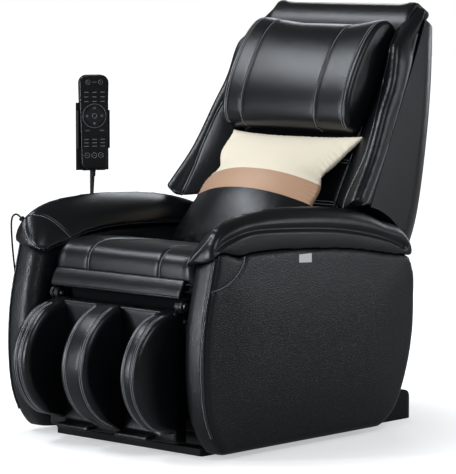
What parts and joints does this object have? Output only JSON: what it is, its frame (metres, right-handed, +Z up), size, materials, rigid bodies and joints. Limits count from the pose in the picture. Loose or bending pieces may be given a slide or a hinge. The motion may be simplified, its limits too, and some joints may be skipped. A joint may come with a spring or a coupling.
{
  "type": "massage chair",
  "caption": "Upholstered reclining massage armchair with calf channels, head pillow, hand control on a holder and a roller carriage inside the back.",
  "frame": {"origin": "on the floor under the middle of the base tray", "axes": "+X toward the sitter's left, -Y the way the sitter faces, +Z up"},
  "size_m": [0.7817, 1.0963, 1.0898],
  "materials": {
    "black_leather": "satin",
    "pillow_cloth": "matte",
    "moulded_black": "matte",
    "gloss_black": "gloss",
    "frame_enamel": "satin",
    "zinc_steel": "satin",
    "plywood": "matte",
    "drive_casting": "satin",
    "roller_nylon": "satin",
    "black_rubber": "matte",
    "tag_cloth": "matte",
    "key_plastic": "satin"
  },
  "bodies": {
    "base": {"base_tray": "moulded_black", "base_frame": "frame_enamel", "seat_frame": "frame_enamel", "axle_pins": "zinc_steel", "seat_pan": "plywood", "seat_cushion": "black_leather", "rear_cover": "moulded_black", "power_inlet": "gloss_black", "control_box": "moulded_black", "air_pump": "moulded_black", "recline_actuator": "drive_casting", "leg_actuator": "drive_casting", "left_arm_pad": "black_leather", "left_arm_panel": "black_leather", "right_arm_pad": "black_leather", "right_arm_panel": "black_leather", "cord_grommet": "black_rubber", "arm_bolts": "zinc_steel", "care_tag": "tag_cloth", "handset_holder": "frame_enamel", "handset_back": "moulded_black", "handset_face": "gloss_black", "handset_gland": "black_rubber", "handset_cord": "black_rubber"},
    "backrest": {"back_frame": "frame_enamel", "back_shell": "black_leather", "back_pad": "black_leather", "left_wing": "black_leather", "right_wing": "black_leather", "top_cap": "black_leather", "head_pillow": "black_leather", "throw_pillow": "pillow_cloth", "guide_rails": "zinc_steel"},
    "leg_rest": {"leg_frame": "frame_enamel", "leg_shell": "black_leather", "middle_fin": "black_leather", "left_fin": "black_leather", "right_fin": "black_leather"},
    "seat_flap": {"seat_flap": "black_leather"},
    "recline_rod": {"recline_rod": "zinc_steel"},
    "leg_rod": {"leg_rod": "zinc_steel"},
    "carriage": {"carriage_frame": "zinc_steel", "carriage_motor": "drive_casting"},
    "drive_shaft": {"drive_shaft": "zinc_steel"},
    "left_massage_arm": {"left_massage_arm": "zinc_steel"},
    "right_massage_arm": {"right_massage_arm": "zinc_steel"},
    "left_upper_roller": {"left_upper_roller": "roller_nylon"},
    "left_lower_roller": {"left_lower_roller": "roller_nylon"},
    "right_upper_roller": {"right_upper_roller": "roller_nylon"},
    "right_lower_roller": {"right_lower_roller": "roller_nylon"},
    "right_wheel": {"right_wheel": "roller_nylon"},
    "left_wheel": {"left_wheel": "roller_nylon"},
    "power_switch": {"power_switch": "gloss_black"},
    "power_key": {"power_key": "key_plastic"},
    "timer_key": {"timer_key": "key_plastic"},
    "direction_pad": {"direction_pad": "key_plastic"},
    "left_oval_key": {"left_oval_key": "key_plastic"},
    "right_oval_key": {"right_oval_key": "key_plastic"},
    "stop_key": {"stop_key": "key_plastic"}
  },
  "joints": [
    {"name": "backrest_recline", "type": "hinge", "parent": "base", "child": "backrest", "pos_m": [0, 0.15, 0.36], "axis": [-1, 0, 0], "range_deg": [0, 45]},
    {"name": "leg_rest_lift", "type": "hinge", "parent": "base", "child": "leg_rest", "pos_m": [0, -0.398, 0.368], "axis": [-1, 0, 0], "range_deg": [0, 80]},
    {"name": "seat_flap_fold", "type": "hinge", "parent": "base", "child": "seat_flap", "pos_m": [0, -0.3929, 0.427], "axis": [-1, 0, 0], "range_deg": [0, 92.1]},
    {"name": "recline_rod_slide", "type": "slide", "parent": "base", "child": "recline_rod", "axis": [0, -1, 0], "range_m": [0, 0.0613]},
    {"name": "leg_rod_slide", "type": "slide", "parent": "base", "child": "leg_rod", "axis": [0, -1, 0], "range_m": [0, 0.0644]},
    {"name": "carriage_travel", "type": "slide", "parent": "backrest", "child": "carriage", "axis": [0, 0.4894, 0.8721], "range_m": [0, 0.22]},
    {"name": "drive_shaft_spin", "type": "hinge", "parent": "carriage", "child": "drive_shaft", "pos_m": [0, 0.29527, 0.53304], "axis": [1, 0, 0], "range_deg": [0, 721]},
    {"name": "left_arm_tap", "type": "hinge", "parent": "carriage", "child": "left_massage_arm", "pos_m": [0, 0.31136, 0.56989], "axis": [1, 0, 0], "range_deg": [-6, 6]},
    {"name": "right_arm_tap", "type": "hinge", "parent": "carriage", "child": "right_massage_arm", "pos_m": [0, 0.31136, 0.56989], "axis": [1, 0, 0], "range_deg": [-6, 6]},
    {"name": "left_upper_roller_spin", "type": "hinge", "parent": "left_massage_arm", "child": "left_upper_roller", "pos_m": [0.062, 0.30682, 0.64353], "axis": [1, 0, 0], "continuous": true},
    {"name": "left_lower_roller_spin", "type": "hinge", "parent": "left_massage_arm", "child": "left_lower_roller", "pos_m": [0.062, 0.24613, 0.53539], "axis": [1, 0, 0], "continuous": true},
    {"name": "right_upper_roller_spin", "type": "hinge", "parent": "right_massage_arm", "child": "right_upper_roller", "pos_m": [-0.062, 0.30682, 0.64353], "axis": [1, 0, 0], "continuous": true},
    {"name": "right_lower_roller_spin", "type": "hinge", "parent": "right_massage_arm", "child": "right_lower_roller", "pos_m": [-0.062, 0.24613, 0.53539], "axis": [1, 0, 0], "continuous": true},
    {"name": "right_wheel_spin", "type": "hinge", "parent": "base", "child": "right_wheel", "pos_m": [-0.205, 0.396, 0.0315], "axis": [1, 0, 0], "continuous": true},
    {"name": "left_wheel_spin", "type": "hinge", "parent": "base", "child": "left_wheel", "pos_m": [0.205, 0.396, 0.0315], "axis": [1, 0, 0], "continuous": true},
    {"name": "power_switch_rock", "type": "hinge", "parent": "base", "child": "power_switch", "pos_m": [0.104, 0.373, 0.124], "axis": [1, 0, 0], "range_deg": [0, 10]},
    {"name": "power_key_press", "type": "slide", "parent": "base", "child": "power_key", "axis": [-0.866, 0.5, 0], "range_m": [0, 0.0008], "stiffness_N_per_m": 800, "springref_m": -0.0008},
    {"name": "timer_key_press", "type": "slide", "parent": "base", "child": "timer_key", "axis": [-0.866, 0.5, 0], "range_m": [0, 0.0008], "stiffness_N_per_m": 800, "springref_m": -0.0008},
    {"name": "direction_pad_press", "type": "slide", "parent": "base", "child": "direction_pad", "axis": [-0.866, 0.5, 0], "range_m": [0, 0.0008], "stiffness_N_per_m": 800, "springref_m": -0.0008},
    {"name": "left_oval_key_press", "type": "slide", "parent": "base", "child": "left_oval_key", "axis": [-0.866, 0.5, 0], "range_m": [0, 0.0008], "stiffness_N_per_m": 800, "springref_m": -0.0008},
    {"name": "right_oval_key_press", "type": "slide", "parent": "base", "child": "right_oval_key", "axis": [-0.866, 0.5, 0], "range_m": [0, 0.0008], "stiffness_N_per_m": 800, "springref_m": -0.0008},
    {"name": "stop_key_press", "type": "slide", "parent": "base", "child": "stop_key", "axis": [-0.866, 0.5, 0], "range_m": [0, 0.0008], "stiffness_N_per_m": 800, "springref_m": -0.0008}
  ],
  "couplings": [
    {"joint": "seat_flap_fold", "follows": "leg_rest_lift", "ratio": 1.15},
    {"joint": "recline_rod_slide", "follows": "backrest_recline", "m_per_rad": 0.07796},
    {"joint": "leg_rod_slide", "follows": "leg_rest_lift", "m_per_rad": 0.046036},
    {"joint": "drive_shaft_spin", "follows": "carriage_travel", "rad_per_m": 57.143}
  ]
}
